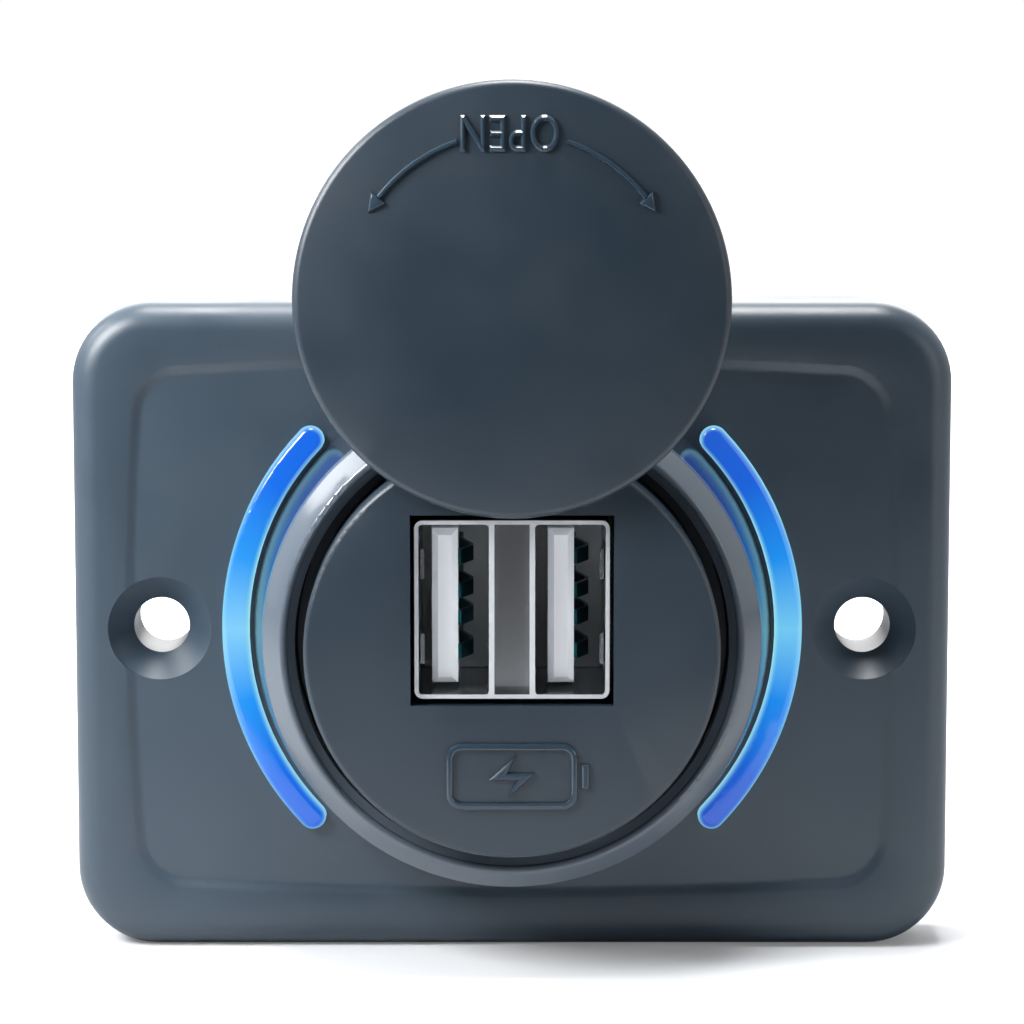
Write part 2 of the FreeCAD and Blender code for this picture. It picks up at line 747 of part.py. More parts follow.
def main_board():
    """Board along the barrel, with a hole for every contact tail and both blade legs."""
    board = block(board_face, board_back, -board_half_height, board_half_height, board_end, board_front)
    for index in (0, 1):
        tail = block_rear(index) - contact_thickness - 2 * block_gap
        for place in contact_places:
            z = shell_raise + place
            room = contact_width / 2 + tail_hole_gap
            board = board.cut(block(board_face - 1, board_back + 1, z - room, z + room,
                                    tail - tail_hole_gap, tail + contact_thickness + tail_hole_gap))
    for side, depth in blade_legs():
        low = barrel_end + depth
        z0, z1 = leg_span(side)
        board = board.cut(block(board_face - 1, board_back + 1, z0 - tail_hole_gap, z1 + tail_hole_gap,
                                low - tail_hole_gap, low + blade_thickness + tail_hole_gap))
    return board


def blade_legs():
    """Side and depth in front of the barrel's end of the two blades' legs."""
    return ((1, positive_leg_depth), (-1, negative_leg_depth))


def leg_span(side):
    """Z from and to of a blade's leg, the positive one above the negative one."""
    if side > 0:
        return blade_fit, leg_width
    return -leg_width, -blade_fit


def upright(radius, height, place):
    """Round component that stands on the main board."""
    depth, z = place
    return Part.makeCylinder(radius, height, Vector(board_face, at(depth), z), Vector(-1, 0, 0))


def power_coil():
    """Wound coil: a drum core with a waist."""
    drum = upright(coil_radius, coil_height, coil_place)
    waist_height = coil_height - 2 * coil_flange
    waist = upright(coil_radius + 1, waist_height, coil_place)
    waist = waist.cut(upright(coil_waist_radius, waist_height, coil_place))
    waist.translate(Vector(-coil_flange, 0, 0))
    return drum.cut(waist)


def capacitor(radius, height, place):
    """Can capacitor with a rolled groove near its foot."""
    can = upright(radius, height, place)
    groove = upright(radius + 1, can_groove_width, place)
    groove = groove.cut(upright(radius - can_groove_depth, can_groove_width, place))
    groove.translate(Vector(-can_groove_place, 0, 0))
    return can.cut(groove)


def flat_component(size, place):
    """Low rectangular component on the main board."""
    height, length, width = size
    depth, z = place
    return block(board_face - height, board_face, z - width / 2, z + width / 2, depth - length / 2,
                 depth + length / 2)


def terminal(side, x, depth):
    """Push-on blade with bevelled tips and a hole, and inside a leg to the main board."""
    tip = barrel_end - cover_thickness - blade_reach
    half = blade_width / 2
    inner = barrel_end + depth
    blade = block(x - blade_thickness / 2, x + blade_thickness / 2, -half, half, tip, inner + blade_thickness)
    corners = [edge for edge in blade.Edges
               if edge.BoundBox.YMin > at(tip) - 1e-6 and edge.BoundBox.ZLength < 1e-6]
    blade = blade.makeChamfer(blade_tip, corners)
    hole = Part.makeCylinder(blade_hole_radius, 2 * blade_thickness,
                             Vector(x - blade_thickness, at(tip + blade_reach / 2), 0), Vector(1, 0, 0))
    z0, z1 = leg_span(side)
    leg = block(x, board_back + contact_tail, z0, z1, inner, inner + blade_thickness)
    return blade.cut(hole).fuse(leg).removeSplitter()


def rear_cover():
    """Cover of the barrel's end: a disc with a spigot, two blade slots, a board slot and two screw holes."""
    spigot_radius = barrel_bore - cover_fit
    low = barrel_end - cover_thickness
    spigot_bore = spigot_radius - cover_spigot_wall
    spigot_end = barrel_end + cover_spigot
    cover = turned([(0, low), (barrel_radius, low, cover_edge), (barrel_radius, barrel_end),
                    (spigot_radius, barrel_end), (spigot_radius, spigot_end), (spigot_bore, spigot_end),
                    (spigot_bore, barrel_end), (0, barrel_end)])
    for x in (positive_blade_place, negative_blade_place):
        half = blade_width / 2 + blade_fit
        side = blade_thickness / 2 + blade_fit
        cover = cover.cut(block(x - side, x + side, -half, half, low - 1, barrel_end + 1))
    room = tail_hole_gap
    cover = cover.cut(block(board_face - room, board_back + room, -board_half_height - room,
                            board_half_height + room, board_end - room, barrel_end + cover_spigot + 1))
    for side in (-1, 1):
        x = side * cover_screw_place()
        cover = cover.cut(rod(cover_screw_radius + screw_fit, low - 1, barrel_end + cover_spigot + 1, x))
    return cover


def cross_recess(end, x, z):
    """Cross-shaped driver recess in a screw head whose rear end is at a height."""
    half = cross_length / 2
    thin = cross_width / 2
    flat = block(x - half, x + half, z - thin, z + thin, end - 1, end + cross_depth)
    tall = block(x - thin, x + thin, z - half, z + half, end - 1, end + cross_depth)
    return flat.fuse(tall)


def pan_screw(seat, head_radius, head_height, shank_radius, shank_end, x, z):
    """Pan-head screw with a cross recess, its head behind the seat and its shank pointing forwards."""
    end = seat - head_height
    screw = turned([(0, end), (head_radius, end, head_height / 2), (head_radius, seat), (shank_radius, seat),
                    (shank_radius, shank_end), (0, shank_end)])
    screw.translate(Vector(x, 0, z))
    return screw.cut(cross_recess(end, x, z))


def cover_screws():
    """Two pan-head screws of the rear cover."""
    return Part.makeCompound([
        pan_screw(barrel_end - cover_thickness, cover_screw_head, cover_screw_head_height, cover_screw_radius,
                  barrel_end + cover_screw_length, side * cover_screw_place(), 0)
        for side in (-1, 1)])


def cap_middle():
    """Z of the open cap's centre: the pivot is as far above the axis as the cap is above the pivot."""
    return 2 * pivot_height


def cap_shell():
    """The cap's outside about the socket's axis: a rim, a rounded edge and a shallow dome."""
    low = cap_back
    crown = low + cap_rim + cap_dome
    ball = (cap_radius ** 2 + cap_dome ** 2) / (2 * cap_dome)
    centre = crown - ball
    edge_radius = cap_radius - cap_edge
    edge_height = centre + math.sqrt((ball - cap_edge) ** 2 - edge_radius ** 2)
    meet = math.atan2(edge_radius, edge_height - centre)

    def on_arc(radius, across, height, angle):
        return Vector(across + radius * math.sin(angle), at(height + radius * math.cos(angle)), 0)

    edge_middle = on_arc(cap_edge, edge_radius, edge_height, (meet + math.pi / 2) / 2)
    edge_start = Vector(cap_radius, at(edge_height), 0)
    edge_end = on_arc(ball, 0, centre, meet)
    base = [Vector(0, at(crown), 0), Vector(0, at(low), 0), Vector(cap_radius, at(low), 0), edge_start]
    edges = [Part.LineSegment(a, b).toShape() for a, b in zip(base, base[1:])]
    edges.append(Part.Arc(edge_start, edge_middle, edge_end).toShape())
    edges.append(Part.Arc(edge_end, on_arc(ball, 0, centre, meet / 2), base[0]).toShape())
    return Part.Face(Part.Wire(edges)).revolve(Vector(0, 0, 0), Vector(0, 1, 0), 360)


def swing_cap():
    """Domed cap with a hollow underside and, near its rim, the hub and post that it turns on."""
    low = cap_back
    z = cap_middle()
    body = cap_shell()
    body.translate(Vector(0, 0, z))
    hollow = rod(cap_radius - cap_rim_width, low - 1, low + cap_hollow, z=z)
    body = body.cut(hollow)
    into_crown = low + cap_hollow + cap_rim / 4
    hub = rod(pivot_hub_radius, low, into_crown, z=pivot_height)
    body = body.fuse(hub)
    half = rib_thickness / 2
    reach = cap_radius - cap_rim_width / 2
    rib = block(-half, half, pivot_height, z + reach, low + cap_gap, into_crown)
    cross_rib = block(-reach, reach, z - half, z + half, low + cap_gap, into_crown)
    body = body.fuse(rib).fuse(cross_rib)
    post = rod(pivot_post_radius, post_end, low + cap_hollow, z=pivot_height)
    body = body.fuse(post)
    bore = rod(pivot_screw_radius + screw_fit, post_end - 1, post_end + pivot_screw_length, z=pivot_height)
    return body.cut(bore).removeSplitter()


def pivot_spring():
    """Dished spring washer between the insert's boss and the flat washer."""
    inner = pivot_post_radius + screw_fit
    high = pivot_boss_end - spring_seat_gap
    low = post_end
    spring = turned([(washer_radius, high - spring_sheet), (washer_radius, high), (inner, low + spring_sheet),
                     (inner, low)])
    spring.translate(Vector(0, 0, pivot_height))
    return spring


def pivot_washer():
    """Flat washer on the post's end."""
    return ring(washer_radius, pivot_screw_radius + screw_fit, post_end - washer_thickness, post_end,
                z=pivot_height)


def pivot_screw():
    """Pan-head screw that holds the washer on the post."""
    return pan_screw(post_end - washer_thickness, pivot_screw_head, pivot_screw_head_height,
                     pivot_screw_radius, post_end + pivot_screw_length - screw_fit, 0, pivot_height)


def build():
    """Make every sub-part and write it under its own name."""
    os.makedirs("parts", exist_ok=True)
    save("face_plate", face_plate())
    bar = light_bar()
    save("light_bar_right", bar)
    save("light_bar_left", mirrored(bar))
    save("lamp_board", lamp_board())
    save("lamp_diode_left", lamp_diode(-1))
    save("lamp_diode_right", lamp_diode(1))
    save("lamp_resistors", lamp_resistors())
    save("lamp_leads", lamp_leads())
    save("socket_body", socket_body())
    save("flange_gasket", flange_gasket())
    save("ring_nut", ring_nut())
    save("face_insert", face_insert())
    save("usb_shell", usb_shell())
    for index, side in enumerate(("left", "right")):
        save("usb_tongue_" + side, usb_tongue(index))
        for number, place in enumerate(contact_places, 1):
            save("%s_contact_%d" % (side, number), contact(index, place))
    save("main_board", main_board())
    save("power_coil", power_coil())
    save("input_capacitor",
         capacitor(input_capacitor_radius, input_capacitor_height, input_capacitor_place))
    save("output_capacitor",
         capacitor(output_capacitor_radius, output_capacitor_height, output_capacitor_place))
    save("regulator_chip", flat_component(chip_size, chip_place))
    save("rectifier_diode", flat_component(rectifier_size, rectifier_place))
    save("terminal_positive", terminal(1, positive_blade_place, positive_leg_depth))
    save("terminal_negative", terminal(-1, negative_blade_place, negative_leg_depth))
    save("rear_cover", rear_cover())
    save("cover_screws", cover_screws())
    save("swing_cap", swing_cap())
    save("pivot_spring", pivot_spring())
    save("pivot_washer", pivot_washer())
    save("pivot_screw", pivot_screw())


build()
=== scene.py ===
# %% [markdown]
# A panel-mounted USB socket with a swing cap. The solids come from the CAD frame. This lesson gives
# them their finishes, adds the small raised marks and the thread, and sets up the light and camera.
# The first cell loads the frame and keeps its box, so that the dressed part can be measured against it.

# %% The frame
import bmesh
import bpy
import json
import math
from collections import Counter
from mathutils import Matrix, Vector


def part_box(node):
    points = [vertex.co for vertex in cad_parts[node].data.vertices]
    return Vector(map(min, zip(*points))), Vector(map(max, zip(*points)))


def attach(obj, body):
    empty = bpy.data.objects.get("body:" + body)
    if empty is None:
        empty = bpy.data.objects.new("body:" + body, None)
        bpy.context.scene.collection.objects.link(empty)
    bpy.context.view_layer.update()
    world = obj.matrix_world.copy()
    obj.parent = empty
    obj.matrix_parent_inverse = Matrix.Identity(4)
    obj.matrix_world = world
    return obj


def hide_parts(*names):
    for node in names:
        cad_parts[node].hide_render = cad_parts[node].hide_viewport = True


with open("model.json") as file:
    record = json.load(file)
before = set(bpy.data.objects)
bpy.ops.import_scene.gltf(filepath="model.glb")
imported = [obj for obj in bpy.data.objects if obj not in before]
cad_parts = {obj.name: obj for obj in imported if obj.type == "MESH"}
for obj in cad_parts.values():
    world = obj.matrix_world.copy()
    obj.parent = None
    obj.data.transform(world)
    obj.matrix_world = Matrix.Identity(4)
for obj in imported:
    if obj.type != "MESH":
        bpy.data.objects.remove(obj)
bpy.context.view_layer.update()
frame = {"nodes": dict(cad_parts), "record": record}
MM = 0.001

# %% [markdown]
# Places could be typed in as numbers, but then the dressing would not follow a changed solid. So they
# are read from the frame. The socket's axis runs through the origin along Y, and the front looks
# towards -Y: the lowest Y of a piece is its front.

# %% Places read from the frame
plate_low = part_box("face_plate")[0]
disc_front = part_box("face_insert")[0].y
body_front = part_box("socket_body")[0].y
shell_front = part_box("usb_shell")[0].y
nut_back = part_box("ring_nut")[1].y
cap_low, cap_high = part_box("swing_cap")
cover_low, cover_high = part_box("rear_cover")
floor_z = plate_low.z
cap_centre = Vector((0, 0, (cap_low.z + cap_high.z) / 2))
cap_radius = (cap_high.x - cap_low.x) / 2
barrel_radius = (cover_high.x - cover_low.x) / 2
print("radii in mm: cap", round(cap_radius / MM, 2), "barrel", round(barrel_radius / MM, 2))

# %% [markdown]
# A moulded part looks smooth, but the frame's mesh is made of loose flat triangles. Subdividing them
# would change the form. Instead, a copy whose doubles are merged is shaded smooth up to an angle, so
# that real edges stay crisp and curved walls lose their facets. The frame's own normals are kept,
# except at the pole of a dome, where they lean wrongly: there a corner takes its point's normal.

# %% Smooth shading
POLE_FAN = 40  # a point where more corners than this meet is a dome's pole
POLE_LEAN = math.radians(8)


def shade_smooth(shape, sharp_degrees):
    """Shade all faces smooth, and keep the edges sharp at which the faces turn by the angle or more."""
    limit = math.radians(sharp_degrees)
    for edge in shape.edges:
        edge.smooth = len(edge.link_faces) == 2 and edge.calc_face_angle(0) < limit
    for face in shape.faces:
        face.smooth = True


def mend_poles(mesh):
    """Give leaning corners at a dome's pole the normal of their point, or else of their face."""
    fans = Counter(corner.vertex_index for corner in mesh.loops)
    normals = [corner.vector.copy() for corner in mesh.corner_normals]
    mended = 0
    for face in mesh.polygons:
        for corner in face.loop_indices:
            point = mesh.loops[corner].vertex_index
            if fans[point] > POLE_FAN and normals[corner].angle(face.normal) > POLE_LEAN:
                shared = mesh.vertices[point].normal
                better = shared if shared.angle(face.normal) < POLE_LEAN else face.normal
                normals[corner] = better.copy()
                mended += 1
    mesh.normals_split_custom_set(normals)
    print(mesh.name, "corners mended", mended)


# %% [markdown]
# The nodes with curved or rounded walls get such a copy. It keeps the node's exact form, rides on the
# node's body and stands for the node, so the flat-shaded one is no longer shown.

# %% Smooth copies of moulded nodes
MERGE_DISTANCE = 0.0005 * MM
MOULDING_SHARP = 24  # degrees
SMOOTH_NODES = {
    "face_plate": "housing", "socket_body": "housing", "face_insert": "housing",
    "light_bar_left": "housing", "light_bar_right": "housing", "ring_nut": "housing",
    "rear_cover": "housing", "usb_shell": "housing", "usb_tongue_left": "housing",
    "usb_tongue_right": "housing", "lamp_leads": "housing", "cover_screws": "housing",
    "swing_cap": "cap", "pivot_screw": "cap",
}


def linked(name, data):
    """A new object of the scene with the given data."""
    item = bpy.data.objects.new(name, data)
    bpy.context.scene.collection.objects.link(item)
    return item


def smoothed(node, body):
    """The smooth copy of a node, riding on its body."""
    mesh = frame["nodes"][node].data.copy()
    shape = bmesh.new()
    shape.from_mesh(mesh)
    bmesh.ops.remove_doubles(shape, verts=shape.verts, dist=MERGE_DISTANCE)
    shade_smooth(shape, MOULDING_SHARP)
    shape.to_mesh(mesh)
    shape.free()
    mend_poles(mesh)
    piece = linked(node + "_moulding", mesh)
    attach(piece, body)
    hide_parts(node)
    return piece


shown = dict(frame["nodes"])
for node, body in SMOOTH_NODES.items():
    shown[node] = smoothed(node, body)
print("smooth copies", len(SMOOTH_NODES))

# %% [markdown]
# Colours are written as the sRGB hex values that one would pick from a screen. The shaders work in
# linear light, so one function turns a hex value into linear numbers.

# %% Colours
def linear(hex_colour):
    """Linear red, green, blue and alpha from an sRGB hex colour."""
    values = [int(hex_colour[i:i + 2], 16) / 255 for i in (1, 3, 5)]
    return [v / 12.92 if v <= 0.04045 else ((v + 0.055) / 1.055) ** 2.4 for v in values] + [1.0]


print("mid grey in linear light", round(linear("#808080")[0], 3))

# %% [markdown]
# Every finish is a small tree of shader nodes. Written out line by line it would fill pages, and a
# function for each kind of node would hide what the nodes are. So there are three helpers only: one
# fills a node's inputs, one adds a node and gives back its outputs, and one starts a material.

# %% Shader helpers
def connect(tree, node, inputs):
    """Set inputs, by name or number, to constants, or link them from other nodes' outputs."""
    for key, value in inputs.items():
        if isinstance(value, bpy.types.NodeSocket):
            tree.links.new(value, node.inputs[key])
        else:
            node.inputs[key].default_value = value


def add(tree, kind, inputs=(), **settings):
    """Add a node with its settings and inputs, and give back its outputs."""
    node = tree.nodes.new(kind)
    for name, value in settings.items():
        setattr(node, name, value)
    connect(tree, node, dict(inputs))
    return node.outputs


def new_material(name, inputs):
    """A material with one Principled shader, its node tree and the shader."""
    material = bpy.data.materials.new(name)
    material.use_nodes = True
    shader = material.node_tree.nodes["Principled BSDF"]
    connect(material.node_tree, shader, inputs)
    return material, material.node_tree, shader


print("helpers for shader trees: connect, add and new_material")

# %% [markdown]
# Moulded plastic is never one flat colour. The tool's spark-eroded grain breaks up the gloss, and slow
# cloudy changes over some 9 mm come from the way that the melt flowed. An image would need unwrapping
# and would repeat. Noise on the piece's own coordinates needs neither. The real grain is finer than a
# pixel, so it is drawn about 0.3 mm across, which is enough to show.

# %% Moulded plastic
PLASTIC_IOR = 1.53
CLOUD_SIZE = 9 * MM
CLOUD_LOW, CLOUD_HIGH = 0.3, 0.7  # the noise rarely leaves this range
GRAIN_STRENGTH = 0.35


def moulded(name, colour, pale, roughness, grain_mm, grain_depth_mm, gloss_change=0.06):
    """Plastic that wavers between two near colours and two near roughnesses, with a fine grain."""
    material, tree, shader = new_material(name, {"IOR": PLASTIC_IOR})
    place = add(tree, "ShaderNodeTexCoord")["Object"]
    clouds = add(tree, "ShaderNodeTexNoise", {"Vector": place, "Scale": 1 / CLOUD_SIZE, "Detail": 3.0,
                                              "Roughness": 0.55})["Fac"]
    tint = add(tree, "ShaderNodeMix", {"Factor": clouds, "A": linear(colour), "B": linear(pale)},
               data_type="RGBA")["Result"]
    gloss = add(tree, "ShaderNodeMapRange", {
        "Value": clouds, "From Min": CLOUD_LOW, "From Max": CLOUD_HIGH,
        "To Min": roughness - gloss_change, "To Max": roughness + gloss_change})["Result"]
    grain = add(tree, "ShaderNodeTexNoise", {"Vector": place, "Scale": 1 / (grain_mm * MM),
                                             "Detail": 2.0})["Fac"]
    relief = add(tree, "ShaderNodeBump", {"Strength": GRAIN_STRENGTH, "Distance": grain_depth_mm * MM,
                                          "Height": grain})["Normal"]
    connect(tree, shader, {"Base Color": tint, "Roughness": gloss, "Normal": relief})
    return material


print("clouds in mm", round(CLOUD_SIZE / MM, 1), "index of refraction", PLASTIC_IOR)

# %% [markdown]
# The plate, the cap, the disc and the bezel are ABS, the usual plastic of a car's trim. What sets them
# apart is the tool's surface: a spark-eroded one gives satin, a polished one gives gloss. One function
# serves them all, and the roughness and the depth of the grain tell them apart.

# %% The plastics in front and behind
# Satin ABS: wide soft highlights that show the plate's form.
slate_plastic = moulded("slate_satin_abs", "#2A3743", "#313F4B", 0.42, 0.30, 0.012)
# A darker batch of the same satin ABS: the cap and the disc stand out from the plate.
cover_plastic = moulded("dark_slate_satin_abs", "#1B2833", "#212E39", 0.40, 0.30, 0.010)
# ABS from polished hollows in the tool: the marks flash where an edge faces a lamp.
polished_marks = moulded("dark_slate_polished_abs", "#24323E", "#2A3844", 0.14, 0.30, 0.003, 0.02)
# Gloss ABS: the bezel and the barrel mirror the lamps as long streaks.
bezel_plastic = moulded("slate_gloss_abs", "#1D2630", "#232C36", 0.17, 0.40, 0.004, 0.03)
# Matt black nylon: the nut and the rear cover stay dark, with a greyish sheen.
black_plastic = moulded("black_nylon", "#131416", "#1A1B1D", 0.5, 0.25, 0.015)
# White connector nylon: the tongues are the palest thing in the ports.
white_plastic = moulded("white_connector_nylon", "#F1F3F6", "#E9ECF0", 0.4, 0.30, 0.006)
print("moulded plastics: plate, cover, marks, bezel, black and white")

# %% [markdown]
# The bezel and the barrel are one glossy dark moulding, and only the bezel's sloping front face is
# lacquered grey. A second material on some faces would do, but the distance along Y already tells the
# slope from the walls behind it, so the colour can change there along a crisp line.

# %% The bezel's lacquered slope
slope_depth = 2.3 * MM
lacquer_blend = 0.03 * MM
slope_end = body_front + slope_depth
bezel_tree = bezel_plastic.node_tree
bezel_shader = bezel_tree.nodes["Principled BSDF"]
bezel_place = add(bezel_tree, "ShaderNodeTexCoord")["Object"]
bezel_depth = add(bezel_tree, "ShaderNodeSeparateXYZ", {"Vector": bezel_place})["Y"]
on_slope = add(bezel_tree, "ShaderNodeMapRange", {
    "Value": bezel_depth, "From Min": slope_end, "From Max": slope_end - lacquer_blend})["Result"]
bare_colour = bezel_shader.inputs["Base Color"].links[0].from_socket
lacquered = add(bezel_tree, "ShaderNodeMix", {"Factor": on_slope, "A": bare_colour,
                                              "B": linear("#4F5862")}, data_type="RGBA")["Result"]
connect(bezel_tree, bezel_shader, {"Base Color": lacquered})
print("the slope ends at Y in mm", round(slope_end / MM, 2))

# %% [markdown]
# The outlet's shell is tin-plated steel strip. Rolling leaves fine lines along the strip, which stretch
# a highlight into a soft streak, so the noise is drawn out along Y. The real lines are finer than a
# pixel, and 0.2 mm is as coarse as they need to show. The strip's sheared edge, at the shell's front,
# is rough and scatters light widely.

# %% Plated metal
LINE_STRETCH = 0.06
LINE_STRENGTH = 0.2
LINE_DEPTH = 0.0015 * MM
SMOOTHEST, ROUGHEST = 0.85, 1.2  # shares of a metal's roughness
SHEARED_DEPTH = 0.05 * MM
SHEARED_BLEND = 0.02 * MM
SHEARED_ROUGHNESS = 0.62


def plated(name, colour, roughness, line_mm, sheared_at=None):
    """Plated strip metal, with its rough sheared edge in front of a given Y."""
    material, tree, shader = new_material(name, {"Metallic": 1.0, "Base Color": linear(colour)})
    place = add(tree, "ShaderNodeTexCoord")["Object"]
    along = add(tree, "ShaderNodeMapping", {"Vector": place, "Scale": (1, LINE_STRETCH, 1)})["Vector"]
    lines = add(tree, "ShaderNodeTexNoise", {"Vector": along, "Scale": 1 / (line_mm * MM),
                                             "Detail": 3.0})["Fac"]
    rough = add(tree, "ShaderNodeMapRange", {"Value": lines, "To Min": roughness * SMOOTHEST,
                                             "To Max": roughness * ROUGHEST})["Result"]
    if sheared_at is not None:
        depth = add(tree, "ShaderNodeSeparateXYZ", {"Vector": place})["Y"]
        edge = add(tree, "ShaderNodeMapRange", {"Value": depth, "From Min": sheared_at,
                                                "From Max": sheared_at - SHEARED_BLEND})["Result"]
        rough = add(tree, "ShaderNodeMix", {"Factor": edge, "A": rough, "B": SHEARED_ROUGHNESS},
                    data_type="FLOAT")["Result"]
    relief = add(tree, "ShaderNodeBump", {"Strength": LINE_STRENGTH, "Distance": LINE_DEPTH,
                                          "Height": lines})["Normal"]
    connect(tree, shader, {"Roughness": rough, "Normal": relief})
    return material


print("the sheared edge is", round(SHEARED_DEPTH / MM, 2), "mm deep")

# %% [markdown]
# The metal pieces differ in what they are plated with, and so in tone and in gloss; only the contacts'
# dark teal tone is a painted reflection. A metal has no colour but that of its reflection, so the tone
# is the base colour and the gloss is the roughness.

# %% The metals
# Tin-plated steel strip: a bright shell with soft streaks and a pale sheared rim.
shell_steel = plated("tin_plated_shell", "#D5D8DC", 0.22, 0.2, sheared_at=shell_front + SHEARED_DEPTH)
# Nickel strip with a painted reflection: its dark teal base colour stands in for the bluish light that
# the contacts mirror, so they look deep teal beside the white tongues.
contact_metal = plated("nickel_strip_painted_teal_reflection", "#1F5F66", 0.3, 0.15)
# Tinned brass: the warm brass shows faintly through the tin of the rear blades.
tinned_brass = plated("tinned_brass", "#CFCBC2", 0.28, 0.25)
# Zinc-plated steel: screws with a cool, slightly dull gleam.
screw_zinc = plated("zinc_plated_screw", "#B9BDC3", 0.34, 0.2)
# Bare spring steel: darker than the plated metals.
spring_steel = plated("spring_steel", "#8E9196", 0.3, 0.2)
# Drawn aluminium: capacitor cans with pale, fine-lined walls.
can_aluminium = plated("drawn_aluminium", "#C9CCD0", 0.3, 0.3)
print("metals: shell, contacts, brass, zinc, spring and can")

# %% [markdown]
# A circuit board is glass cloth under green lacquer, and the weave, about 0.5 mm a thread, just shows
# through. An image of cloth would repeat and blur, so two wave patterns at right angles make it.

# %% Circuit boards
BANDS_PER_UNIT = 3.2  # what a wave texture of scale 1 draws in one unit of length
LACQUER_IOR = 1.52
LACQUER_ROUGHNESS = 0.3
THREAD_WAVINESS = 0.4


def lacquered_board(name, colour, pale, thread_mm):
    """Green lacquer with the weave of the cloth in a paler tone."""
    material, tree, shader = new_material(name, {"Roughness": LACQUER_ROUGHNESS, "IOR": LACQUER_IOR})
    threads = {"Vector": add(tree, "ShaderNodeTexCoord")["Object"],
               "Scale": 1 / (thread_mm * MM) / BANDS_PER_UNIT, "Distortion": THREAD_WAVINESS}
    warp = add(tree, "ShaderNodeTexWave", threads, bands_direction="X")["Fac"]
    weft = add(tree, "ShaderNodeTexWave", threads, bands_direction="Z")["Fac"]
    weave = add(tree, "ShaderNodeMath", {0: warp, 1: weft}, operation="MULTIPLY")["Value"]
    tint = add(tree, "ShaderNodeMix", {"Factor": weave, "A": linear(colour), "B": linear(pale)},
               data_type="RGBA")["Result"]
    connect(tree, shader, {"Base Color": tint})
    return material


circuit_board = lacquered_board("green_lacquered_board", "#0E4A2C", "#1A6A42", 0.5)
print("board", circuit_board.name)

# %% [markdown]
# What stands on the boards, the gasket and the lamp leads are moulded or sintered too, so they come from
# the same function as the plastics in front. They differ in tone and in how matt they are.

# %% The small pieces inside
# Chip moulding compound: dull near-black.
component_black = moulded("moulded_component", "#17181A", "#1E1F22", 0.45, 0.2, 0.01)
# Sintered ferrite: the coil's core is a matt dark grey.
ferrite = moulded("sintered_ferrite", "#232527", "#2E3032", 0.6, 0.15, 0.02)
# Black rubber: the gasket swallows nearly all light.
black_rubber = moulded("black_rubber", "#0D0D0E", "#141415", 0.7, 0.2, 0.02)
# Red wire insulation: smooth, with a narrow highlight along the wire.
red_insulation = moulded("red_wire_insulation", "#8E1616", "#9A1E1C", 0.35, 0.4, 0.004)
print("finishes inside: chips, ferrite, rubber and insulation")

# %% [markdown]
# The light bars are clear acrylic light guides. A blue lamp sits behind the middle of each, so a bar is
# almost white there, turns azure and ends in a royal blue. Real lamps inside clear bars would give a
# noisy picture, so the bars shine by themselves: the colour follows the angle about the socket's axis.
# The rounded rim works as a lens and gathers the light, so it shines paler than the crown. How far the
# surface lies behind the crown tells where the rim is.

# %% A lit light guide
GUIDE_IOR = 1.49
GUIDE_ROUGHNESS = 0.12
BAR_END_ANGLE = math.radians(47)
STOP_PLACES = (0.16, 0.34, 0.5, 0.66, 0.84)
RIM_START, RIM_END = 0.05 * MM, 0.36 * MM  # behind the crown
RIM_SHARE = 0.72
BAR_GLOW = 0.86


def light_guide(name, node, colours):
    """Clear plastic that glows in the colours given from its lower to its upper end."""
    material, tree, shader = new_material(name, {"Roughness": GUIDE_ROUGHNESS, "IOR": GUIDE_IOR,
                                                 "Base Color": linear("#0A2250")})
    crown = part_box(node)[0].y
    place = add(tree, "ShaderNodeTexCoord")["Object"]
    axes = add(tree, "ShaderNodeSeparateXYZ", {"Vector": place})
    across = add(tree, "ShaderNodeMath", {0: axes["X"]}, operation="ABSOLUTE")["Value"]
    angle = add(tree, "ShaderNodeMath", {0: axes["Z"], 1: across}, operation="ARCTAN2")["Value"]
    along = add(tree, "ShaderNodeMapRange", {"Value": angle, "From Min": -BAR_END_ANGLE,
                                             "From Max": BAR_END_ANGLE})["Result"]
    ramp = add(tree, "ShaderNodeValToRGB", {"Fac": along})["Color"]
    stops = ramp.node.color_ramp.elements
    stops[0].color = linear(colours[0])
    stops[1].color = linear(colours[-1])
    for position, colour in zip(STOP_PLACES, colours[1:-1]):
        stops.new(position).color = linear(colour)
    rim = add(tree, "ShaderNodeMapRange", {
        "Value": axes["Y"], "From Min": crown + RIM_START, "From Max": crown + RIM_END,
        "To Max": RIM_SHARE})["Result"]
    glow = add(tree, "ShaderNodeMix", {"Factor": rim, "A": ramp, "B": linear("#A6F2FF")},
               data_type="RGBA")["Result"]
    connect(tree, shader, {"Emission Color": glow, "Emission Strength": BAR_GLOW})
    return material


print("a bar spans in degrees", round(2 * math.degrees(BAR_END_ANGLE)))

# %% [markdown]
# The two bars look alike, but the left one is a little brighter, so each has colours of its own, from
# its lower to its upper end. The lamps behind them have pale epoxy bodies, which take the plastics'
# function and a blue glow of their own.

# %% The lit bars and their lamps
LAMP_GLOW = 0.8
left_guide = light_guide("lit_acrylic_left", "light_bar_left",
                         ("#0462DA", "#0870EA", "#209CFA", "#8CDCFC", "#30A4FA", "#1672EE", "#1668E8"))
right_guide = light_guide("lit_acrylic_right", "light_bar_right",
                          ("#1C52C8", "#1762D6", "#1A90F4", "#7AD4FA", "#2098F6", "#1C66E0", "#2460D6"))
lamp_body = moulded("lit_lamp_epoxy", "#CFE6FF", "#DCEDFF", 0.2, 0.3, 0.002, 0.03)
connect(lamp_body.node_tree, lamp_body.node_tree.nodes["Principled BSDF"],
        {"Emission Color": linear("#4FA0FF"), "Emission Strength": LAMP_GLOW})
print("lit: two light guides and the lamps behind them")

